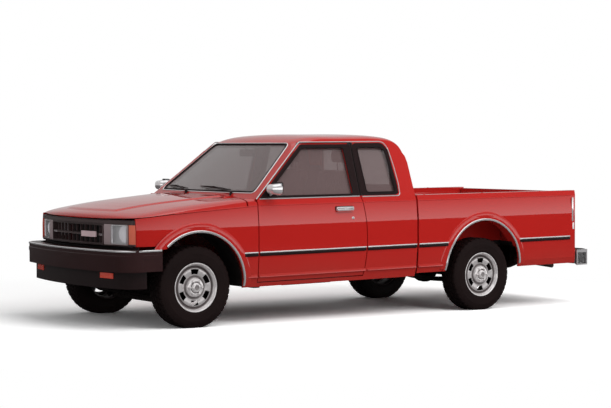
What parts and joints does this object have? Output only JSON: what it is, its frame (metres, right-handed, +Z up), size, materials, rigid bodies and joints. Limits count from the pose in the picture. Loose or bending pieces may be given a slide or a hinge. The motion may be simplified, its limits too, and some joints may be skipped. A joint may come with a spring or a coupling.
{
  "type": "compact extended-cab pickup truck",
  "caption": "Compact extended-cab pickup truck with opening doors, hood and tailgate, steered front wheels, open load bed and ladder frame.",
  "frame": {"origin": "on the ground below the middle of the truck's length and width", "axes": "+X towards the truck's left side, +Y towards the tailgate, +Z up; the front faces -Y"},
  "size_m": [1.86, 5.0448, 1.5405],
  "materials": {
    "body_paint": "aged red gloss paint",
    "inner_paint": "satin black",
    "window_glass": "clear",
    "front_trim": "silver plastic",
    "lens_clear": "fluted lens",
    "lens_amber": "translucent",
    "lens_red": "translucent",
    "bumper_front": "gloss black",
    "black_plastic": "grained",
    "bumper_chrome": "bright plated",
    "dash_plastic": "grained",
    "seat_fabric": "woven cloth",
    "chassis_steel": "satin black",
    "cast_metal": "as cast",
    "radiator_metal": "finned, black",
    "tank_steel": "satin black",
    "exhaust_steel": "dull, heat stained",
    "spare_rubber": "worn",
    "wheel_chrome": "bright plated",
    "tyre_rubber": "worn"
  },
  "bodies": {
    "root": {"cab_shell": "body_paint", "roof_panel": "body_paint", "cowl_panel": "body_paint", "fender_left": "body_paint", "fender_right": "body_paint", "load_bed": "body_paint", "bed_side_left": "body_paint", "bed_side_right": "body_paint", "engine_bay": "inner_paint", "windscreen": "window_glass", "rear_window": "window_glass", "quarter_windows": "window_glass", "grille_panel": "front_trim", "headlamps": "lens_clear", "marker_lamps": "lens_amber", "turn_lamps": "lens_amber", "tail_lamps": "lens_red", "front_bumper": "bumper_front", "front_valance": "black_plastic", "steering_column": "black_plastic", "rear_bumper": "bumper_chrome", "dashboard": "dash_plastic", "seats": "seat_fabric", "frame": "chassis_steel", "front_suspension": "chassis_steel", "rear_axle": "chassis_steel", "leaf_springs": "chassis_steel", "engine_block": "cast_metal", "driveshaft": "cast_metal", "radiator": "radiator_metal", "fuel_tank": "tank_steel", "exhaust": "exhaust_steel", "spare_wheel": "spare_rubber"},
    "door_left": {"door_left": "body_paint", "door_glass_left": "window_glass", "mirror_left": "bumper_chrome"},
    "door_right": {"door_right": "body_paint", "door_glass_right": "window_glass", "mirror_right": "bumper_chrome"},
    "hood": {"hood": "body_paint"},
    "tailgate": {"tailgate": "body_paint"},
    "steering_wheel": {"steering_wheel": "black_plastic"},
    "knuckle_left": {"knuckle_left": "chassis_steel"},
    "knuckle_right": {"knuckle_right": "chassis_steel"},
    "wheel_front_left": {"wheel_front_left": "wheel_chrome", "tyre_front_left": "tyre_rubber"},
    "wheel_front_right": {"wheel_front_right": "wheel_chrome", "tyre_front_right": "tyre_rubber"},
    "wheel_rear_left": {"wheel_rear_left": "wheel_chrome", "tyre_rear_left": "tyre_rubber"},
    "wheel_rear_right": {"wheel_rear_right": "wheel_chrome", "tyre_rear_right": "tyre_rubber"}
  },
  "joints": [
    {"name": "door_left_hinge", "type": "hinge", "parent": "root", "child": "door_left", "pos_m": [0.818, -1.17026, 0.66023], "axis": [0, 0.0169, -0.9999], "range_deg": [0, 65]},
    {"name": "door_right_hinge", "type": "hinge", "parent": "root", "child": "door_right", "pos_m": [-0.818, -1.17026, 0.66023], "axis": [0, -0.0169, 0.9999], "range_deg": [0, 65]},
    {"name": "hood_hinge", "type": "hinge", "parent": "root", "child": "hood", "pos_m": [0, -1.2811, 1.00467], "axis": [-1, 0, 0], "range_deg": [0, 50]},
    {"name": "tailgate_hinge", "type": "hinge", "parent": "root", "child": "tailgate", "pos_m": [0, 2.32333, 0.62537], "axis": [-1, 0, 0], "range_deg": [0, 90]},
    {"name": "steer_left", "type": "hinge", "parent": "root", "child": "knuckle_left", "pos_m": [0.575, -1.76917, 0.315], "axis": [0, 0, 1], "range_deg": [-32, 32]},
    {"name": "steer_right", "type": "hinge", "parent": "root", "child": "knuckle_right", "pos_m": [-0.575, -1.76917, 0.315], "axis": [0, 0, 1], "range_deg": [-32, 32]},
    {"name": "steering_wheel_turn", "type": "hinge", "parent": "root", "child": "steering_wheel", "pos_m": [0.35, -0.74065, 0.98255], "axis": [0, 0.8749, 0.4844], "range_deg": [-520, 520]},
    {"name": "wheel_front_left_spin", "type": "hinge", "parent": "knuckle_left", "child": "wheel_front_left", "pos_m": [0.6975, -1.76917, 0.315], "axis": [1, 0, 0], "continuous": true},
    {"name": "wheel_front_right_spin", "type": "hinge", "parent": "knuckle_right", "child": "wheel_front_right", "pos_m": [-0.6975, -1.76917, 0.315], "axis": [1, 0, 0], "continuous": true},
    {"name": "wheel_rear_left_spin", "type": "hinge", "parent": "root", "child": "wheel_rear_left", "pos_m": [0.6975, 1.21583, 0.315], "axis": [1, 0, 0], "continuous": true},
    {"name": "wheel_rear_right_spin", "type": "hinge", "parent": "root", "child": "wheel_rear_right", "pos_m": [-0.6975, 1.21583, 0.315], "axis": [1, 0, 0], "continuous": true}
  ],
  "couplings": [
    {"joint": "steer_right", "follows": "steer_left", "ratio": 1},
    {"joint": "steering_wheel_turn", "follows": "steer_left", "ratio": 16}
  ]
}
